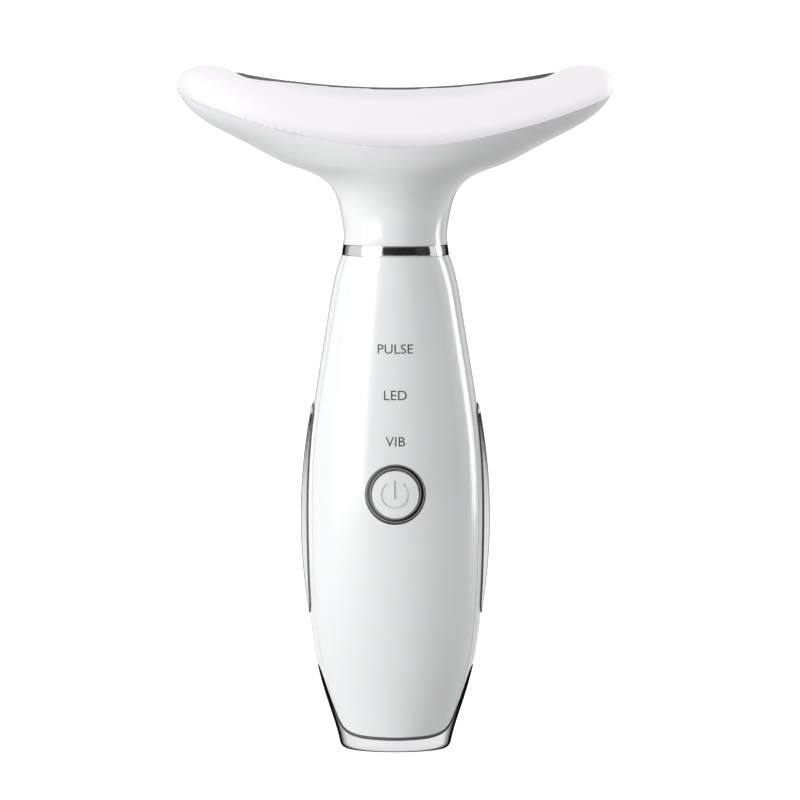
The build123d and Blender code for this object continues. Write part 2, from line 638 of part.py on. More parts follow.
with BuildPart() as boost_coil:
    add(block((-6, BOARD_FRONT_Y - 2.8, 31), (-1, BOARD_FRONT_Y, 36)))
boost_coil.part.label = "boost_coil"
export_step(boost_coil.part, "parts/boost_coil.step")

with BuildPart() as capacitors:
    for x, z in ((3, 33), (3, 36.5), (-6, 50), (-6, 78)):
        add(block((x - 1, BOARD_FRONT_Y - 1.2, z - 0.6), (x + 1, BOARD_FRONT_Y, z + 0.6)))
capacitors.part.label = "capacitors"
export_step(capacitors.part, "parts/capacitors.step")

with BuildPart() as indicator_leds:
    for z in INDICATOR_Z:
        add(block((-0.8, BOARD_FRONT_Y - 0.6, z - 0.4), (0.8, BOARD_FRONT_Y, z + 0.4)))
indicator_leds.part.label = "indicator_leds"
export_step(indicator_leds.part, "parts/indicator_leds.step")

# clear blocks that carry each indicator's light from the board to the back of the shell
with BuildPart() as light_guides:
    for z in INDICATOR_Z:
        add(block((-5.5, -20, z - 1.8), (5.5, BOARD_FRONT_Y, z + 1.8)))
    add(seam_lip_outer, mode=Mode.INTERSECT)
    for z in INDICATOR_Z:
        add(block((-1.3, BOARD_FRONT_Y - 1.2, z - 0.9), (1.3, BOARD_FRONT_Y + 1, z + 0.9)), mode=Mode.SUBTRACT)
light_guides.part.label = "light_guides"
export_step(light_guides.part, "parts/light_guides.step")

with BuildPart() as board_connectors:
    for x, z in ((CABLE_AT[0], 96.0), (-4.2, 96.0), (-3.0, 86.5)):
        add(block((x - 1.9, BOARD_BACK_Y, z - 1.4), (x + 1.9, -2.9, z + 1.4)))
board_connectors.part.label = "board_connectors"
export_step(board_connectors.part, "parts/board_connectors.step")

# ---- power button ------------------------------------------------------------------------------
with BuildPart() as switch_body:
    add(block((-3, BOARD_FRONT_Y - 3.5, BUTTON_Z - 3), (3, BOARD_FRONT_Y, BUTTON_Z + 3)))
    add(rod((0, -12, BUTTON_Z), (0, BOARD_FRONT_Y - 1.4, BUTTON_Z), 1.75), mode=Mode.SUBTRACT)
switch_body.part.label = "switch_body"
export_step(switch_body.part, "parts/switch_body.step")

with BuildPart() as switch_plunger:
    add(rod((0, BOARD_FRONT_Y - 4.5, BUTTON_Z), (0, BOARD_FRONT_Y - 2.2, BUTTON_Z), 1.65))
switch_plunger.part.label = "switch_plunger"
export_step(switch_plunger.part, "parts/switch_plunger.step")

with BuildPart() as button_ring:
    add(rod((0, -20, BUTTON_Z), (0, -12.4, BUTTON_Z), BEZEL_R))
    add(rod((0, -21, BUTTON_Z), (0, -12, BUTTON_Z), BEZEL_BORE_R), mode=Mode.SUBTRACT)
    add(oval_stack(HANDLE, -0.35), mode=Mode.INTERSECT)
button_ring.part.label = "button_ring"
export_step(button_ring.part, "parts/button_ring.step")

# the cap carries an engraved standby symbol: an open ring with a short bar at its top
with BuildPart() as symbol:
    with BuildSketch(Plane.XZ.offset(15.4)):
        with Locations((0, BUTTON_Z)):
            Circle(3.4)
            Circle(2.95, mode=Mode.SUBTRACT)
        with Locations((0, BUTTON_Z + 3.6)):
            Rectangle(3.8, 3.0, mode=Mode.SUBTRACT)
        with Locations((0, BUTTON_Z + 1.1)):
            Rectangle(0.55, 4.2)
    extrude(amount=3)

with BuildPart() as power_button:
    add(rod((0, -20, BUTTON_Z), (0, -12.2, BUTTON_Z), BUTTON_R))
    add(oval_stack(HANDLE, -0.15), mode=Mode.INTERSECT)
    add(rod((0, -12.3, BUTTON_Z), (0, -11.5, BUTTON_Z), 6.6))
    add(rod((0, -11.6, BUTTON_Z), (0, BOARD_FRONT_Y - 4.55, BUTTON_Z), 1.3))
    add(symbol.part, mode=Mode.SUBTRACT)
power_button.part.label = "power_button"
export_step(power_button.part, "parts/power_button.step")

# ---- battery -----------------------------------------------------------------------------------
with BuildPart() as battery_cell:
    add(rod((0, CELL_Y, CELL_BOTTOM), (0, CELL_Y, CELL_TOP), CELL_R))
    fillet(battery_cell.edges().filter_by(GeomType.CIRCLE), radius=0.7)
battery_cell.part.label = "battery_cell"
export_step(battery_cell.part, "parts/battery_cell.step")

with BuildPart() as battery_tabs:
    for low in (CELL_BOTTOM - 0.2, CELL_TOP):
        add(block((-5.0, CELL_Y - 2, low), (5.0, CELL_Y + 2, low + 0.2)))
battery_tabs.part.label = "battery_tabs"
export_step(battery_tabs.part, "parts/battery_tabs.step")

with BuildPart() as battery_foam:
    add(block((-4, CELL_Y, 40), (4, 12.1, 72)))
    add(rod((0, CELL_Y, 30), (0, CELL_Y, 90), CELL_R), mode=Mode.SUBTRACT)
battery_foam.part.label = "battery_foam"
export_step(battery_foam.part, "parts/battery_foam.step")

with BuildPart() as battery_lead_red:
    add(lead(((-3, CELL_Y, CELL_TOP + 0.2), (-3, CELL_Y, 86.5), (-3, -2.9, 86.5)), 0.5, 2.5))
battery_lead_red.part.label = "battery_lead_red"
export_step(battery_lead_red.part, "parts/battery_lead_red.step")

with BuildPart() as battery_lead_black:
    low = CELL_BOTTOM - 0.2
    add(lead(((-3, CELL_Y, low), (-3, CELL_Y, 25), (-3, -2.4, 25), (-3, -2.4, 29.3), (-3, BOARD_BACK_Y, 29.3)), 0.5, 1.3))
battery_lead_black.part.label = "battery_lead_black"
export_step(battery_lead_black.part, "parts/battery_lead_black.step")

# ---- cables from the main board to the head ----------------------------------------------------
with BuildPart() as head_cable:
    x, y = CABLE_AT
    add(lead(((x, -2.9, 96), (x, y, 96), (x, y, 147.2)), 0.9, 4.0))
head_cable.part.label = "head_cable"
export_step(head_cable.part, "parts/head_cable.step")

with BuildPart() as motor_cable:
    add(lead(((-4.2, -2.9, 96), (-4.2, 1.0, 96), (-4.2, 1.0, 112), (-2.0, -1.5, 117.5), (-2.0, -1.5, MOTOR_BOTTOM)), 0.7, 2.6))
motor_cable.part.label = "motor_cable"
export_step(motor_cable.part, "parts/motor_cable.step")
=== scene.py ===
"""Skin scrubber: finishes, printed words, softened head pieces and a small studio around the frame.

Laid out as an add-on and run as a script. Every piece is in metres, in the frame's own place.
"""
import json
import math

import bpy
from bpy.props import (FloatProperty, FloatVectorProperty, PointerProperty,
                       StringProperty)
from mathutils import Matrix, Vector


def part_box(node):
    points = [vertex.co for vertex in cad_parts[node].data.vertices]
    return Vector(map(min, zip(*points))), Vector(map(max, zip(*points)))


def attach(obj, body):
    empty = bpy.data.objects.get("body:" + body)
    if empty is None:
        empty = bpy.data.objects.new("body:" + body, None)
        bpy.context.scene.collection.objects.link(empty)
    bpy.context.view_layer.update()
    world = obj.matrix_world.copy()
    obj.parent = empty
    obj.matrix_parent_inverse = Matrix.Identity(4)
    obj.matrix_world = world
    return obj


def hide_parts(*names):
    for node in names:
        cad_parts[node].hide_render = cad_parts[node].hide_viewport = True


bl_info = {
    "name": "Skin Scrubber",
    "version": (1, 0, 0),
    "blender": (4, 5, 0),
    "location": "View3D > Sidebar > Scrubber",
    "description": "Finishes a crescent-headed skin scrubber and lights it",
    "category": "Object",
}

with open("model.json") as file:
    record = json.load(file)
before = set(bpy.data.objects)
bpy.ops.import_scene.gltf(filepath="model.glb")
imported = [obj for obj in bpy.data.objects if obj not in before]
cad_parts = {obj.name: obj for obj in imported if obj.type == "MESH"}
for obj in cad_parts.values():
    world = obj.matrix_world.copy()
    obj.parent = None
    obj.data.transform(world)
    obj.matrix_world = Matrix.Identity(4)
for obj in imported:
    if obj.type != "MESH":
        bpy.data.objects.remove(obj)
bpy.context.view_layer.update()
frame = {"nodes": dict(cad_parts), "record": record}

MM = 0.001
BUTTON_LOW, BUTTON_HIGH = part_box("power_button")
BUTTON_Z = (BUTTON_LOW[2] + BUTTON_HIGH[2]) / 2
RING_FRONT_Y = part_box("button_ring")[0][1]
HANDLE_HALF_WIDTH = 21.3 * MM    # the handle's oval at the height of the button
HANDLE_HALF_DEPTH = 15.8 * MM


# ---- values a user would change ------------------------------------------------------------------
class ScrubberWords(bpy.types.PropertyGroup):
    """The three printed words above the button"""
    top: StringProperty(name="Top word", description="Word furthest from the button",
                        default="PULSE")
    middle: StringProperty(name="Middle word", description="Word in the middle", default="LED")
    low: StringProperty(name="Low word", description="Word next to the button", default="VIB")
    cap_height: FloatProperty(name="Letter height", description="Height of a capital letter",
                              default=2.25 * MM, unit="LENGTH")
    lowest: FloatProperty(name="Lowest line", description="Height of the lowest word's middle",
                          default=75.0 * MM, unit="LENGTH")
    spacing: FloatProperty(name="Line spacing", description="Distance from one word to the next",
                           default=11.0 * MM, unit="LENGTH")
    ink: FloatVectorProperty(name="Ink", description="Colour of the print", subtype="COLOR",
                             size=3, default=(0.045, 0.047, 0.052))


class ScrubberColours(bpy.types.PropertyGroup):
    """Colours of the outer pieces"""
    shell: FloatVectorProperty(name="Shell", description="White gloss plastic", subtype="COLOR",
                               size=3, default=(0.84, 0.845, 0.85))
    # dark base colour of the diffuser; its milky whiteness is painted glow in the emission
    diffuser: FloatVectorProperty(name="Diffuser", description="Milky plastic of the head",
                                  subtype="COLOR", size=3, default=(0.13, 0.126, 0.133))
    chrome: FloatVectorProperty(name="Chrome", description="Plated trim", subtype="COLOR",
                                size=3, default=(0.86, 0.86, 0.87))
    # bezel colour: the plating darkened as painted reflection, also the light end of the painted
    # shade
    bezel: FloatVectorProperty(name="Bezel", description="Dark plating round the button",
                               subtype="COLOR", size=3, default=(0.13, 0.13, 0.135))
    plate: FloatVectorProperty(name="Plate", description="Steel massage plate", subtype="COLOR",
                               size=3, default=(0.46, 0.46, 0.47))


class ScrubberStudio(bpy.types.PropertyGroup):
    """Camera and lights"""
    lens: FloatProperty(name="Lens", description="Focal length in millimetres", default=300.0)
    view_width: FloatProperty(name="View width", description="Width seen at the handle",
                              default=192.0 * MM, unit="LENGTH")
    elevation: FloatProperty(name="Camera elevation", description="Angle above the table",
                             default=math.radians(4.0), subtype="ANGLE")
    key: FloatProperty(name="Key light", description="Power of the large left softbox, in watts",
                       default=13.5)
    fill: FloatProperty(name="Fill light", description="Power of the right softbox, in watts",
                        default=2.0)
    top: FloatProperty(name="Top light", description="Power of the overhead softbox, in watts",
                       default=0.7)
    room: FloatProperty(name="Room light", description="Strength of the even room light",
                        default=0.3)


# ---- picking and shaping -------------------------------------------------------------------------
def pick(obj):
    """Selects one object only and makes it active."""
    if bpy.context.object and bpy.context.object.mode != "OBJECT":
        bpy.ops.object.mode_set(mode="OBJECT")
    bpy.ops.object.select_all(action="DESELECT")
    obj.select_set(True)
    bpy.context.view_layer.objects.active = obj


def apply_modifiers(obj):
    """Applies every modifier of a piece, from the first to the last."""
    pick(obj)
    for name in [modifier.name for modifier in obj.modifiers]:
        bpy.ops.object.modifier_apply(modifier=name)


def settle(obj, smooth_angle=None):
    """Puts a piece's place into its mesh, so the object sits at the origin, and smooths it."""
    pick(obj)
    bpy.ops.object.transform_apply(location=True, rotation=True, scale=True)
    if smooth_angle:
        bpy.ops.object.shade_smooth_by_angle(angle=smooth_angle)


def node_copy(node, name):
    """A welded copy of a frame node's mesh as a new piece."""
    source = frame["nodes"][node]
    mesh = source.data.copy()
    mesh.name = name
    piece = bpy.data.objects.new(name, mesh)
    bpy.context.scene.collection.objects.link(piece)
    pick(piece)
    bpy.ops.object.mode_set(mode="EDIT")
    bpy.ops.mesh.select_all(action="SELECT")
    bpy.ops.mesh.remove_doubles(threshold=1e-6)
    bpy.ops.mesh.customdata_custom_splitnormals_clear()
    bpy.ops.object.mode_set(mode="OBJECT")
    return piece


def soften(piece, width):
    """Rounds a piece's sharp edges."""
    bevel = piece.modifiers.new("softened_edges", "BEVEL")
    bevel.width = width
    bevel.segments = 3
    bevel.limit_method = "ANGLE"
    bevel.angle_limit = math.radians(40)
    bevel.use_clamp_overlap = True
    apply_modifiers(piece)
    settle(piece, smooth_angle=math.radians(35))


def body_of(node):
    """The body that a frame node belongs to."""
    for body, names in frame["record"]["behaviour"]["bodies"].items():
        if node in names:
            return body
    raise RuntimeError(f"no body holds {node}")


def stand_in(piece, node):
    """The piece is shown in place of a frame node, on that node's body."""
    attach(piece, body_of(node))
    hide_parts(node)


# ---- shared shader groups ------------------------------------------------------------------------
def new_group(name, inputs, outputs):
    """An empty shader group with named sockets, and its input and output nodes."""
    group = bpy.data.node_groups.new(name, "ShaderNodeTree")
    for label, kind, value in inputs:
        socket = group.interface.new_socket(label, in_out="INPUT", socket_type=kind)
        socket.default_value = value
    for label, kind in outputs:
        group.interface.new_socket(label, in_out="OUTPUT", socket_type=kind)
    return group, group.nodes.new("NodeGroupInput"), group.nodes.new("NodeGroupOutput")


def blend_colours(tree, factor, a, b, blend_type="MIX"):
    """Blends two colours; each of the three is an output to link, or a plain value."""
    blend = tree.nodes.new("ShaderNodeMix")
    blend.data_type = "RGBA"
    blend.blend_type = blend_type
    for label, value in (("Factor", factor), ("A", a), ("B", b)):
        if isinstance(value, bpy.types.NodeSocket):
            tree.links.new(value, blend.inputs[label])
        else:
            blend.inputs[label].default_value = value
    return blend.outputs["Result"]


def grey_ramp(tree, factor, stops, interpolation="LINEAR"):
    """A ramp of greys through the given stops."""
    ramp = tree.nodes.new("ShaderNodeValToRGB")
    elements = ramp.color_ramp.elements
    ramp.color_ramp.interpolation = interpolation
    for index, (at, value) in enumerate(stops):
        stop = elements[index] if index < 2 else elements.new(at)
        stop.position = at
        stop.color = (value, value, value, 1)
    tree.links.new(factor, ramp.inputs["Fac"])
    return ramp.outputs["Color"]


def spread_over(tree, value, low, high):
    """Maps a value between two limits to 0 to 1. The limits are outputs to link or numbers."""
    spread = tree.nodes.new("ShaderNodeMapRange")
    tree.links.new(value, spread.inputs["Value"])
    for label, limit in (("From Min", low), ("From Max", high)):
        if isinstance(limit, bpy.types.NodeSocket):
            tree.links.new(limit, spread.inputs[label])
        else:
            spread.inputs[label].default_value = limit
    return spread.outputs["Result"]


def vector_step(tree, operation, vector, by=None):
    """One vector operation on an output, with a fixed second vector."""
    step = tree.nodes.new("ShaderNodeVectorMath")
    step.operation = operation
    tree.links.new(vector, step.inputs[0])
    if by:
        step.inputs[1].default_value = by
    return step


def moulded_grain():
    """Very fine surface ripple of moulded plastic, with a matching change of gloss."""
    group, given, result = new_group(
        "moulded_grain",
        (("Scale", "NodeSocketFloat", 900.0), ("Gloss low", "NodeSocketFloat", 0.2),
         ("Gloss high", "NodeSocketFloat", 0.26)),
        (("Height", "NodeSocketFloat"), ("Roughness", "NodeSocketFloat")))
    link = group.links.new
    place = group.nodes.new("ShaderNodeTexCoord")
    fine = group.nodes.new("ShaderNodeTexNoise")
    fine.inputs["Detail"].default_value = 3.0
    broad = group.nodes.new("ShaderNodeTexNoise")
    broad.inputs["Scale"].default_value = 60.0
    broad.inputs["Detail"].default_value = 2.0
    spread = group.nodes.new("ShaderNodeMapRange")
    link(place.outputs["Object"], fine.inputs["Vector"])
    link(place.outputs["Object"], broad.inputs["Vector"])
    link(given.outputs["Scale"], fine.inputs["Scale"])
    link(broad.outputs["Fac"], spread.inputs["Value"])
    link(given.outputs["Gloss low"], spread.inputs["To Min"])
    link(given.outputs["Gloss high"], spread.inputs["To Max"])
    spread.inputs["From Min"].default_value = 0.3
    spread.inputs["From Max"].default_value = 0.7
    link(fine.outputs["Fac"], result.inputs["Height"])
    link(spread.outputs["Result"], result.inputs["Roughness"])
    return group


def colour_drift():
    """A slow drift between two near colours."""
    group, given, result = new_group(
        "colour_drift",
        (("Scale", "NodeSocketFloat", 40.0), ("Colour A", "NodeSocketColor", (0.8, 0.8, 0.8, 1)),
         ("Colour B", "NodeSocketColor", (0.7, 0.7, 0.7, 1))),
        (("Colour", "NodeSocketColor"),))
    link = group.links.new
    place = group.nodes.new("ShaderNodeTexCoord")
    cloud = group.nodes.new("ShaderNodeTexNoise")
    cloud.inputs["Detail"].default_value = 4.0
    link(place.outputs["Object"], cloud.inputs["Vector"])
    link(given.outputs["Scale"], cloud.inputs["Scale"])
    mixed = blend_colours(group, cloud.outputs["Fac"], given.outputs["Colour A"],
                          given.outputs["Colour B"])
    link(mixed, result.inputs["Colour"])
    return group


def brushed_lines():
    """Fine parallel lines along X, as left by a polishing belt."""
    group, given, result = new_group(
        "brushed_lines",
        (("Lines", "NodeSocketFloat", 2600.0), ("Gloss low", "NodeSocketFloat", 0.12),
         ("Gloss high", "NodeSocketFloat", 0.3)),
        (("Height", "NodeSocketFloat"), ("Roughness", "NodeSocketFloat")))
    link = group.links.new
    place = group.nodes.new("ShaderNodeTexCoord")
    stretch = group.nodes.new("ShaderNodeMapping")
    stretch.inputs["Scale"].default_value = (0.02, 1.0, 1.0)
    lines = group.nodes.new("ShaderNodeTexNoise")
    lines.inputs["Detail"].default_value = 2.0
    spread = group.nodes.new("ShaderNodeMapRange")
    link(place.outputs["Object"], stretch.inputs["Vector"])
    link(stretch.outputs["Vector"], lines.inputs["Vector"])
    link(given.outputs["Lines"], lines.inputs["Scale"])
    link(lines.outputs["Fac"], spread.inputs["Value"])
    link(given.outputs["Gloss low"], spread.inputs["To Min"])
    link(given.outputs["Gloss high"], spread.inputs["To Max"])
    link(lines.outputs["Fac"], result.inputs["Height"])
    link(spread.outputs["Result"], result.inputs["Roughness"])
    return group


def painted_glow_band():
    """Painted glow inside the diffuser: full in a band along the crescent, with painted shade
    towards both of its rims.
    """
    group, given, result = new_group(
        "painted_glow_band",
        (("Low rim", "NodeSocketFloat", 0.1451), ("High rim", "NodeSocketFloat", 0.1589),
         ("Rise", "NodeSocketFloat", 4.1), ("Colour", "NodeSocketColor", (1, 1, 1, 1)),
         ("Rim colour", "NodeSocketColor", (0.8, 0.8, 0.8, 1))),
        (("Colour", "NodeSocketColor"),))
    place = group.nodes.new("ShaderNodeTexCoord")
    apart = group.nodes.new("ShaderNodeSeparateXYZ")
    group.links.new(place.outputs["Object"], apart.inputs["Vector"])

    def number_step(operation, *values):
        step = group.nodes.new("ShaderNodeMath")
        step.operation = operation
        for socket, value in zip(step.inputs, values):
            group.links.new(value, socket)
        return step.outputs["Value"]

    # the band follows the crescent, which rises with the square of the distance from the middle
    square = number_step("MULTIPLY", apart.outputs["X"], apart.outputs["X"])
    rise = number_step("MULTIPLY", square, given.outputs["Rise"])
    level = number_step("SUBTRACT", apart.outputs["Z"], rise)
    share = spread_over(group, level, given.outputs["Low rim"], given.outputs["High rim"])
    # painted glow: full across the middle of the band, falling to painted shade at both rims
    lit = grey_ramp(group, share, ((0.0, 0.0), (0.28, 1.0), (0.72, 1.0), (0.92, 0.45)), "EASE")
    mixed = blend_colours(group, lit, given.outputs["Rim colour"], given.outputs["Colour"])
    group.links.new(mixed, result.inputs["Colour"])
    return group


def painted_ring_highlights():
    """Painted highlights as thin bright lines round the button's middle, and a painted shade that
    deepens from left to right.
    """
    group, given, result = new_group(
        "painted_ring_highlights",
        (("Left shade", "NodeSocketColor", (0.1, 0.1, 0.1, 1)),
         ("Right shade", "NodeSocketColor", (0.01, 0.01, 0.01, 1))),
        (("Colour", "NodeSocketColor"),))
    place = group.nodes.new("ShaderNodeTexCoord")
    apart = group.nodes.new("ShaderNodeSeparateXYZ")
    centred = vector_step(group, "SUBTRACT", place.outputs["Object"], (0, 0, BUTTON_Z))
    flat = vector_step(group, "MULTIPLY", centred.outputs["Vector"], (1, 0, 1))
    reach = vector_step(group, "LENGTH", flat.outputs["Vector"])
    group.links.new(flat.outputs["Vector"], apart.inputs["Vector"])
    radius = spread_over(group, reach.outputs["Value"], 5.7 * MM, 7.3 * MM)
    # painted highlights: two thin bright rings round the button
    lines = grey_ramp(group, radius, ((0.12, 0.0), (0.2, 0.5), (0.29, 0.0), (0.68, 0.0),
                                      (0.75, 0.6), (0.82, 0.0)))
    # painted shade deepening from left to right across the ring
    across = spread_over(group, apart.outputs["X"], -6.0 * MM, 4.0 * MM)
    shade = blend_colours(group, across, given.outputs["Left shade"], given.outputs["Right shade"])
    total = blend_colours(group, 1.0, shade, lines, "ADD")
    group.links.new(total, result.inputs["Colour"])
    return group


GROUP_MAKERS = {"moulded_grain": moulded_grain, "colour_drift": colour_drift,
                "brushed_lines": brushed_lines, "painted_glow_band": painted_glow_band,
                "painted_ring_highlights": painted_ring_highlights}
GROUPS = {}


def group_node(material, name, **values):
    """Places a shared group in a material, with its own values."""
    if name not in GROUPS:
        GROUPS[name] = GROUP_MAKERS[name]()
    node = material.node_tree.nodes.new("ShaderNodeGroup")
    node.node_tree = GROUPS[name]
    for label, value in values.items():
        node.inputs[label.replace("_", " ")].default_value = value
    return node


# ---- finishes ------------------------------------------------------------------------------------
def finish(name, colour, drift=0.03, grain=900.0, gloss=(0.2, 0.26), bump=0.004, lines=False,
           drift_scale=40.0, **sockets):
    """A procedural finish: drifting colour, rippled or brushed height and a varying gloss."""
    material = bpy.data.materials.new(name)
    material.use_nodes = True
    tree = material.node_tree
    shader = tree.nodes["Principled BSDF"]
    tint = group_node(material, "colour_drift", Scale=drift_scale,
                      Colour_A=(*[min(c * (1 + drift), 1) for c in colour], 1),
                      Colour_B=(*[c * (1 - drift) for c in colour], 1))
    tree.links.new(tint.outputs["Colour"], shader.inputs["Base Color"])
    relief = group_node(material, "brushed_lines" if lines else "moulded_grain",
                        Gloss_low=gloss[0], Gloss_high=gloss[1])
    relief.inputs["Lines" if lines else "Scale"].default_value = grain
    tree.links.new(relief.outputs["Roughness"], shader.inputs["Roughness"])
    bumps = tree.nodes.new("ShaderNodeBump")
    bumps.inputs["Strength"].default_value = bump
    bumps.inputs["Distance"].default_value = 0.001
    tree.links.new(relief.outputs["Height"], bumps.inputs["Height"])
    tree.links.new(bumps.outputs["Normal"], shader.inputs["Normal"])
    for label, value in sockets.items():
        shader.inputs[label.replace("_", " ")].default_value = value
    return material


def white_shell():
    colours = bpy.context.scene.scrubber_colours
    return finish("white_gloss_plastic", colours.shell, drift=0.006, gloss=(0.17, 0.22),
                  Coat_Weight=0.25, Coat_Roughness=0.06)


def milky_diffuser():
    colours = bpy.context.scene.scrubber_colours
    # the head's whiteness is a painted glow in the emission over a dark base colour; no lamp is
    # inside
    material = finish("milky_plastic", colours.diffuser, drift=0.012, drift_scale=25.0,
                      gloss=(0.34, 0.42), Subsurface_Weight=0.35, Emission_Strength=0.76,
                      Subsurface_Radius=(0.004, 0.0038, 0.0042), Subsurface_Scale=1.0)
    tree = material.node_tree
    # the painted glow band, with painted shade towards both rims, drives the emission colour
    band = group_node(material, "painted_glow_band", Colour=(1.0, 0.965, 0.99, 1),
                      Rim_colour=(0.78, 0.77, 0.82, 1))
    tree.links.new(band.outputs["Colour"], tree.nodes["Principled BSDF"].inputs["Emission Color"])
    return material


def chrome_trim():
    """Bright plating with a painted dark reflection: the base colour goes black and the metal fades
    where the surface faces sideways to the eye.
    """
    colours = bpy.context.scene.scrubber_colours
    material = finish("chrome_plating", colours.chrome, drift=0.01, gloss=(0.07, 0.12), bump=0.0,
                      Specular_IOR_Level=0.0)
    tree = material.node_tree
    shader = tree.nodes["Principled BSDF"]
    tint = shader.inputs["Base Color"].links[0].from_socket
    # painted reflection: near-black base colour and less metal where the surface faces sideways to
    # the view
    turn = tree.nodes.new("ShaderNodeLayerWeight")
    turn.inputs["Blend"].default_value = 0.5
    painted_reflection_share = spread_over(tree, turn.outputs["Facing"], 0.44, 0.68)
    # near-black colour of the painted dark reflection
    mixed = blend_colours(tree, painted_reflection_share, tint, (0.006, 0.006, 0.007, 1))
    tree.links.new(mixed, shader.inputs["Base Color"])
    metal = tree.nodes.new("ShaderNodeMath")
    metal.operation = "SUBTRACT"
    metal.inputs[0].default_value = 1.0
    tree.links.new(painted_reflection_share, metal.inputs[1])
    tree.links.new(metal.outputs["Value"], shader.inputs["Metallic"])
    return material


def bezel_painted_reflection():
    colours = bpy.context.scene.scrubber_colours
    # the plating colour is darkened to paint the ring's dark reflections
    material = finish("chrome_plating_painted_dark", colours.bezel, drift=0.02, gloss=(0.08, 0.14),
                      bump=0.0, Metallic=1.0)
    tree = material.node_tree
    # painted highlight lines and painted shade from left to right make the ring's base colour
    lines = group_node(material, "painted_ring_highlights", Left_shade=(*colours.bezel, 1),
                       Right_shade=(*[c * 0.08 for c in colours.bezel], 1))
    tree.links.new(lines.outputs["Colour"], tree.nodes["Principled BSDF"].inputs["Base Color"])
    return material


def polished_plate():
    colours = bpy.context.scene.scrubber_colours
    return finish("polished_steel_plate", colours.plate, drift=0.03, grain=2600.0,
                  gloss=(0.14, 0.26), bump=0.02, lines=True, Metallic=1.0)


def button_white():
    colours = bpy.context.scene.scrubber_colours
    return finish("button_plastic", colours.shell, drift=0.006, gloss=(0.24, 0.3),
                  Coat_Weight=0.1, Coat_Roughness=0.1)


def clear_plastic():
    return finish("clear_light_guide", (0.85, 0.88, 0.9), drift=0.01, gloss=(0.1, 0.14),
                  Transmission_Weight=0.8)


# inner finishes: colour, drift, gloss range and whether it is metal
INNER = {
    "steel": ((0.5, 0.5, 0.51), 0.03, (0.2, 0.34), 1.0),
    "tungsten": ((0.3, 0.3, 0.31), 0.05, (0.3, 0.42), 1.0),
    "nickel": ((0.62, 0.6, 0.54), 0.03, (0.22, 0.34), 1.0),
    "circuit_board": ((0.02, 0.16, 0.07), 0.2, (0.28, 0.36), 0.0),
    "white_board": ((0.82, 0.82, 0.8), 0.03, (0.3, 0.4), 0.0),
    "black_plastic": ((0.02, 0.02, 0.022), 0.1, (0.36, 0.48), 0.0),
    "cream_plastic": ((0.78, 0.74, 0.64), 0.04, (0.38, 0.5), 0.0),
    "inner_plastic": ((0.68, 0.68, 0.68), 0.03, (0.44, 0.56), 0.0),
    "grey_rubber": ((0.1, 0.1, 0.105), 0.06, (0.6, 0.72), 0.0),
    "amber_film": ((0.42, 0.16, 0.02), 0.12, (0.16, 0.24), 0.0),
    "cell_wrap": ((0.03, 0.1, 0.32), 0.05, (0.22, 0.3), 0.0),
    "foam": ((0.03, 0.03, 0.03), 0.2, (0.85, 0.95), 0.0),
    "red_insulation": ((0.5, 0.02, 0.015), 0.05, (0.4, 0.5), 0.0),
    "black_insulation": ((0.015, 0.015, 0.015), 0.1, (0.4, 0.5), 0.0),
    "white_insulation": ((0.75, 0.75, 0.72), 0.03, (0.4, 0.5), 0.0),
}
OUTER = {
    "white_shell": white_shell, "milky_diffuser": milky_diffuser, "chrome_trim": chrome_trim,
    "polished_plate": polished_plate, "button_white": button_white, "clear_plastic": clear_plastic,
    "bezel_painted_reflection": bezel_painted_reflection,
}
FINISHES = {}


def finish_for(slot):
    """The finish of a material slot, made once."""
    if slot not in FINISHES:
        if slot in OUTER:
            FINISHES[slot] = OUTER[slot]()
        else:
            colour, drift, gloss, metal = INNER[slot]
            FINISHES[slot] = finish(slot + "_finish", colour, drift=drift, gloss=gloss, bump=0.02,
                                    Metallic=metal)
    return FINISHES[slot]


def dress_with(piece, material):
    """Gives a piece one material all over."""
    piece.data.materials.clear()
    piece.data.materials.append(material)


def dress(piece, slot):
    """Gives a piece the finish of a material slot."""
    dress_with(piece, finish_for(slot))


# ---- pieces --------------------------------------------------------------------------------------
def softened_copy(node, name, width, slot):
    """Shows a copy of a frame node with rounded edges and one finish in the node's place."""
    piece = node_copy(node, name)
    soften(piece, width)
    dress(piece, slot)
    stand_in(piece, node)


class SCRUBBER_OT_finish_nodes(bpy.types.Operator):
    """Gives every frame node the finish of its slot"""
    bl_idname = "scrubber.finish_nodes"
    bl_label = "Finish the frame's nodes"

    def execute(self, context):
        for row in frame["record"]["subparts"]:
            node = frame["nodes"][row["node"]]
            for slot in node.material_slots:
                slot.material = finish_for(row["material_slot"])
        return {"FINISHED"}


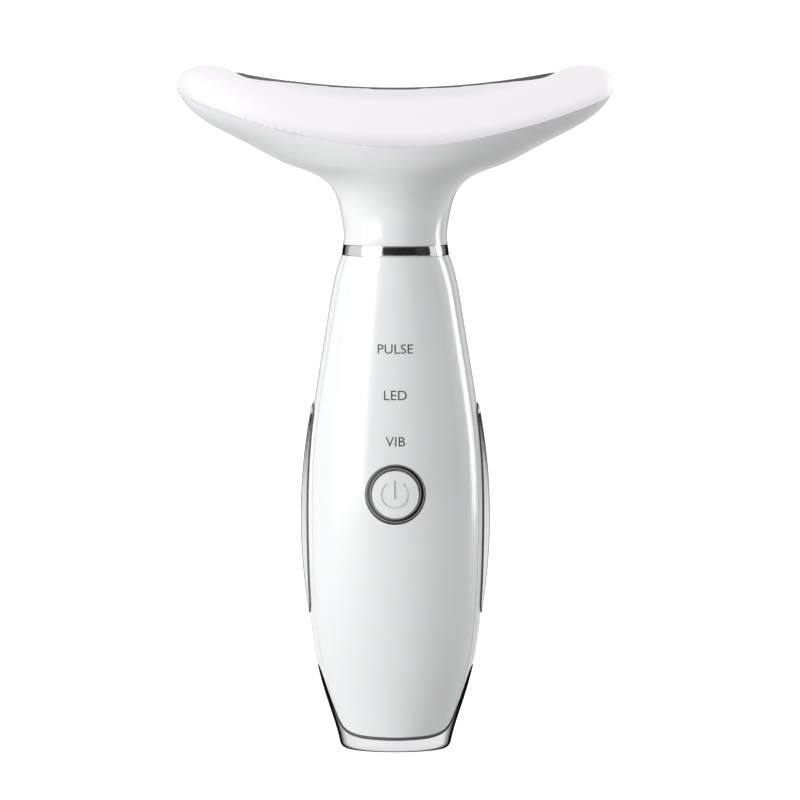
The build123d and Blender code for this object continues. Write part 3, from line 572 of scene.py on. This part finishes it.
class SCRUBBER_OT_diffuser(bpy.types.Operator):
    """Makes the milky diffuser with a rolled upper lip"""
    bl_idname = "scrubber.diffuser"
    bl_label = "Milky diffuser"

    def execute(self, context):
        piece = node_copy("light_diffuser", "milky_light_diffuser")
        for polygon in piece.data.polygons:
            polygon.use_smooth = True
        weld = piece.modifiers.new("even_skin", "REMESH")
        weld.mode = "VOXEL"
        weld.voxel_size = 0.5 * MM
        weld.use_smooth_shade = True
        apply_modifiers(piece)
        lip = piece.vertex_groups.new(name="lip")
        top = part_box("light_diffuser")[1][2]
        sag, half_span, depth, fade = 6.2 * MM, 43 * MM, 2.5 * MM, 2.0 * MM
        for vertex in piece.data.vertices:
            x, y, z = vertex.co
            crest = top - sag * max(0.0, 1 - (x / half_span) ** 2)
            near = 1.0 - min(max((crest - z - depth) / fade, 0.0), 1.0)
            if near > 0:
                lip.add([vertex.index], near, "REPLACE")
        roll = piece.modifiers.new("rolled_lip", "SMOOTH")
        roll.factor = 0.5
        roll.iterations = 22
        roll.vertex_group = "lip"
        soft = piece.modifiers.new("even_out", "SMOOTH")
        soft.factor = 0.5
        soft.iterations = 4
        apply_modifiers(piece)
        settle(piece)
        bpy.ops.object.shade_smooth()
        dress(piece, "milky_diffuser")
        stand_in(piece, "light_diffuser")
        return {"FINISHED"}


class SCRUBBER_OT_plate(bpy.types.Operator):
    """Makes the steel plate with softened edges"""
    bl_idname = "scrubber.plate"
    bl_label = "Massage plate"

    def execute(self, context):
        softened_copy("massage_plate", "steel_massage_plate", 0.3 * MM, "polished_plate")
        return {"FINISHED"}


class SCRUBBER_OT_trim(bpy.types.Operator):
    """Makes the plated side strips and the neck ring with softened edges"""
    bl_idname = "scrubber.trim"
    bl_label = "Plated trim"

    def execute(self, context):
        for node, width in (("left_side_strip", 0.45), ("right_side_strip", 0.45),
                            ("neck_ring", 0.15)):
            softened_copy(node, "plated_" + node, width * MM, "chrome_trim")
        return {"FINISHED"}


def handle_fall(x):
    """How far the handle's front falls back at a distance from its middle."""
    return HANDLE_HALF_DEPTH * (1 - math.sqrt(max(0.0, 1 - (x / HANDLE_HALF_WIDTH) ** 2)))


class SCRUBBER_OT_bezel(bpy.types.Operator):
    """Turns the plated ring round the button, dark by painted reflection: a bead, a groove and a
    wide sloping face
    """
    bl_idname = "scrubber.bezel"
    bl_label = "Button bezel"

    def execute(self, context):
        front = RING_FRONT_Y
        rear_starts = 2.0 * MM
        # radius and distance behind the ring's front, in millimetres, from the rear outside in
        profile = ((7.2, 3.2), (7.24, 0.45), (7.2, 0.2), (7.08, 0.06), (6.93, 0.02), (6.78, 0.08),
                   (6.7, 0.22), (6.62, 0.24), (6.5, 0.14), (6.36, 0.12), (6.1, 0.3), (5.92, 0.5),
                   (5.82, 0.58), (5.76, 0.7), (5.76, 3.2))
        bpy.ops.object.select_all(action="DESELECT")
        bpy.ops.mesh.primitive_circle_add(
            vertices=144, radius=profile[0][0] * MM, rotation=(math.radians(90), 0, 0),
            location=(0, front + profile[0][1] * MM, BUTTON_Z))
        piece = context.object
        piece.name = "dark_button_bezel"
        bpy.ops.object.transform_apply(location=True, rotation=True, scale=True)
        bpy.ops.object.mode_set(mode="EDIT")
        bpy.ops.mesh.select_all(action="SELECT")
        for (r_a, y_a), (r_b, y_b) in zip(profile, profile[1:]):
            bpy.ops.mesh.extrude_region_move(
                TRANSFORM_OT_translate={"value": (0, (y_b - y_a) * MM, 0)})
            scale = r_b / r_a
            bpy.ops.transform.resize(value=(scale, 1, scale),
                                     center_override=(0, front + y_b * MM, BUTTON_Z))
        bpy.ops.mesh.select_all(action="SELECT")
        bpy.ops.mesh.select_non_manifold()
        bpy.ops.mesh.bridge_edge_loops()
        bpy.ops.mesh.select_all(action="SELECT")
        bpy.ops.mesh.normals_make_consistent(inside=False)
        bpy.ops.object.mode_set(mode="OBJECT")
        for vertex in piece.data.vertices:
            if vertex.co.y - front < rear_starts:
                vertex.co.y += handle_fall(vertex.co.x)
        settle(piece, smooth_angle=math.radians(50))
        dress(piece, "bezel_painted_reflection")
        stand_in(piece, "button_ring")
        return {"FINISHED"}


class SCRUBBER_OT_words(bpy.types.Operator):
    """Prints the three words on the front of the handle"""
    bl_idname = "scrubber.words"
    bl_label = "Printed words"

    def execute(self, context):
        words = context.scene.scrubber_words
        shell = frame["nodes"]["front_shell"]
        before_shell = -18.0 * MM
        ink = finish("grey_print", words.ink, drift=0.03, gloss=(0.4, 0.5), bump=0.0)
        for row, text in enumerate((words.low, words.middle, words.top)):
            height = words.lowest + row * words.spacing
            bpy.ops.object.select_all(action="DESELECT")
            bpy.ops.object.text_add(rotation=(math.radians(90), 0, 0))
            piece = context.object
            piece.name = f"printed_word_{row + 1}"
            piece.data.body = text
            piece.data.align_x = "CENTER"
            piece.data.align_y = "CENTER"
            piece.data.size = 3.0 * MM
            piece.data.resolution_u = 6
            piece.data.space_character = 1.02
            bpy.ops.object.convert(target="MESH")
            piece = context.object
            heights = [vertex.co.y for vertex in piece.data.vertices]
            factor = words.cap_height / (max(heights) - min(heights))
            piece.scale = (factor, factor, factor)
            piece.location = (0, before_shell, height)
            settle(piece)
            middle = sum((Vector(c) for c in piece.bound_box), Vector()) / 8
            for vertex in piece.data.vertices:
                vertex.co.x -= middle.x
                vertex.co.z += height - middle.z
            wrap = piece.modifiers.new("on_the_shell", "SHRINKWRAP")
            wrap.target = shell
            wrap.wrap_method = "PROJECT"
            wrap.use_project_y = True
            wrap.use_positive_direction = True
            wrap.use_negative_direction = False
            wrap.offset = 0.02 * MM
            apply_modifiers(piece)
            dress_with(piece, ink)
            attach(piece, "body")
        return {"FINISHED"}


# ---- studio --------------------------------------------------------------------------------------
def aim(obj, target):
    """Turns a light or camera towards a point."""
    obj.rotation_euler = (Vector(target) - obj.location).to_track_quat("-Z", "Y").to_euler()


def softbox(name, place, size, power, target, depth=None):
    """A rectangular softbox aimed at a point."""
    data = bpy.data.lights.new(name, "AREA")
    data.shape = "RECTANGLE"
    data.size = size
    data.size_y = depth or size
    data.energy = power
    lamp = bpy.data.objects.new(name, data)
    bpy.context.scene.collection.objects.link(lamp)
    lamp.location = place
    aim(lamp, target)


def black_flag(name, place, width, height, target):
    """A dark card that only shows in reflections, as used round shiny things."""
    bpy.ops.object.select_all(action="DESELECT")
    bpy.ops.mesh.primitive_plane_add(size=1.0, location=place)
    card = bpy.context.object
    card.name = name
    card.scale = (width, height, 1)
    aim(card, target)
    settle(card)
    card.visible_camera = False
    card.visible_diffuse = False
    card.visible_shadow = False
    dress_with(card, finish("flag_cloth", (0.004, 0.004, 0.004), drift=0.1, gloss=(0.9, 0.95)))


def seen_bright(material, strength, in_shiny):
    """Adds an even brightness seen directly, and a share of it in shiny things."""
    tree = material.node_tree
    output = tree.nodes["Material Output"]
    shader = tree.nodes["Principled BSDF"]
    glow = tree.nodes.new("ShaderNodeEmission")
    glow.inputs["Strength"].default_value = strength
    path = tree.nodes.new("ShaderNodeLightPath")
    dark = tree.nodes.new("ShaderNodeEmission")
    dark.inputs["Strength"].default_value = 0.0
    choose = tree.nodes.new("ShaderNodeMixShader")
    total = tree.nodes.new("ShaderNodeAddShader")
    either = tree.nodes.new("ShaderNodeMath")
    either.operation = "MULTIPLY_ADD"
    tree.links.new(path.outputs["Is Glossy Ray"], either.inputs[0])
    either.inputs[1].default_value = in_shiny
    tree.links.new(path.outputs["Is Camera Ray"], either.inputs[2])
    tree.links.new(either.outputs["Value"], choose.inputs["Fac"])
    tree.links.new(dark.outputs["Emission"], choose.inputs[1])
    tree.links.new(glow.outputs["Emission"], choose.inputs[2])
    tree.links.new(shader.outputs["BSDF"], total.inputs[0])
    tree.links.new(choose.outputs["Shader"], total.inputs[1])
    tree.links.new(total.outputs["Shader"], output.inputs["Surface"])


class SCRUBBER_OT_stage(bpy.types.Operator):
    """Lays a pale floor, sets the lights and the camera"""
    bl_idname = "scrubber.stage"
    bl_label = "Floor, lights and camera"

    def execute(self, context):
        studio = context.scene.scrubber_studio
        middle = Vector((1.1 * MM, 0, 83.9 * MM))

        bpy.ops.object.select_all(action="DESELECT")
        bpy.ops.mesh.primitive_plane_add(size=60, location=(0, 0, 0))
        floor = context.object
        floor.name = "pale_floor"
        surface = finish("pale_floor_paint", (0.42, 0.42, 0.42), drift=0.002, gloss=(0.7, 0.8),
                         bump=0.0, drift_scale=2.0)
        seen_bright(surface, 0.9, in_shiny=0.62)
        dress_with(floor, surface)

        data = bpy.data.cameras.new("camera")
        data.lens = studio.lens
        data.sensor_width = 36.0
        data.clip_end = 100.0
        data.clip_start = 0.01
        camera = bpy.data.objects.new("camera", data)
        context.scene.collection.objects.link(camera)
        distance = studio.view_width * studio.lens / data.sensor_width
        camera.location = middle + distance * Vector(
            (0, -math.cos(studio.elevation), math.sin(studio.elevation)))
        aim(camera, middle)
        context.scene.camera = camera

        softbox("key", (-0.9, -0.68, 0.4), 0.9, studio.key, middle)
        softbox("fill", (0.95, -0.55, 0.25), 0.5, studio.fill, middle, depth=0.9)
        softbox("overhead", (0, -0.1, 0.95), 0.8, studio.top, middle)
        softbox("rear_right", (0.66, 0.22, 0.15), 0.16, 2.2, middle, depth=0.7)
        # upright flags behind and before the handle
        for side, label in ((-1, "left"), (1, "right")):
            black_flag(f"flag_back_{label}", (side * 0.22, 0.6, 0.2), 0.2, 0.9, middle)
            black_flag(f"flag_side_{label}", (side * 0.52, 0.4, 0.2), 0.1, 0.9, middle)
        black_flag("flag_front", (0.2, -1.1, 0.25), 1.7, 0.8, middle)
        black_flag("flag_front_right", (0.88, -0.47, 0.25), 0.62, 0.8, middle)

        world = bpy.data.worlds.new("studio_room")
        context.scene.world = world
        world.use_nodes = True
        tree = world.node_tree
        room = tree.nodes["Background"]
        room.inputs["Color"].default_value = (0.98, 0.99, 1.0, 1)
        room.inputs["Strength"].default_value = studio.room
        path = tree.nodes.new("ShaderNodeLightPath")
        last = room.outputs["Background"]
        for ray, strength in (("Is Glossy Ray", 0.8), ("Is Camera Ray", 1.0)):
            seen = tree.nodes.new("ShaderNodeBackground")
            seen.inputs["Strength"].default_value = strength
            seen.inputs["Color"].default_value = (1, 1, 1, 1)
            choose = tree.nodes.new("ShaderNodeMixShader")
            tree.links.new(path.outputs[ray], choose.inputs["Fac"])
            tree.links.new(last, choose.inputs[1])
            tree.links.new(seen.outputs["Background"], choose.inputs[2])
            last = choose.outputs["Shader"]
        tree.links.new(last, tree.nodes["World Output"].inputs["Surface"])
        context.scene.view_settings.view_transform = "Standard"
        return {"FINISHED"}


class SCRUBBER_PT_panel(bpy.types.Panel):
    """Lists the steps and their values"""
    bl_idname = "SCRUBBER_PT_panel"
    bl_label = "Skin Scrubber"
    bl_space_type = "VIEW_3D"
    bl_region_type = "UI"
    bl_category = "Scrubber"

    def draw(self, context):
        for group in (context.scene.scrubber_words, context.scene.scrubber_colours,
                      context.scene.scrubber_studio):
            for name in group.bl_rna.properties.keys():
                if name not in ("rna_type", "name"):
                    self.layout.prop(group, name)
        for step in STEPS:
            self.layout.operator(step.bl_idname)


STEPS = (SCRUBBER_OT_stage, SCRUBBER_OT_finish_nodes, SCRUBBER_OT_diffuser, SCRUBBER_OT_plate,
         SCRUBBER_OT_trim, SCRUBBER_OT_bezel, SCRUBBER_OT_words)
GROUP_CLASSES = (("scrubber_words", ScrubberWords), ("scrubber_colours", ScrubberColours),
                 ("scrubber_studio", ScrubberStudio))


def register():
    for name, group in GROUP_CLASSES:
        bpy.utils.register_class(group)
        setattr(bpy.types.Scene, name, PointerProperty(type=group))
    for step in STEPS:
        bpy.utils.register_class(step)
    bpy.utils.register_class(SCRUBBER_PT_panel)


def unregister():
    bpy.utils.unregister_class(SCRUBBER_PT_panel)
    for step in reversed(STEPS):
        bpy.utils.unregister_class(step)
    for name, group in reversed(GROUP_CLASSES):
        delattr(bpy.types.Scene, name)
        bpy.utils.unregister_class(group)


def main():
    register()
    for step in STEPS:
        family, action = step.bl_idname.split(".")
        getattr(getattr(bpy.ops, family), action)()
    bpy.context.view_layer.update()


if __name__ == "__main__":
    main()
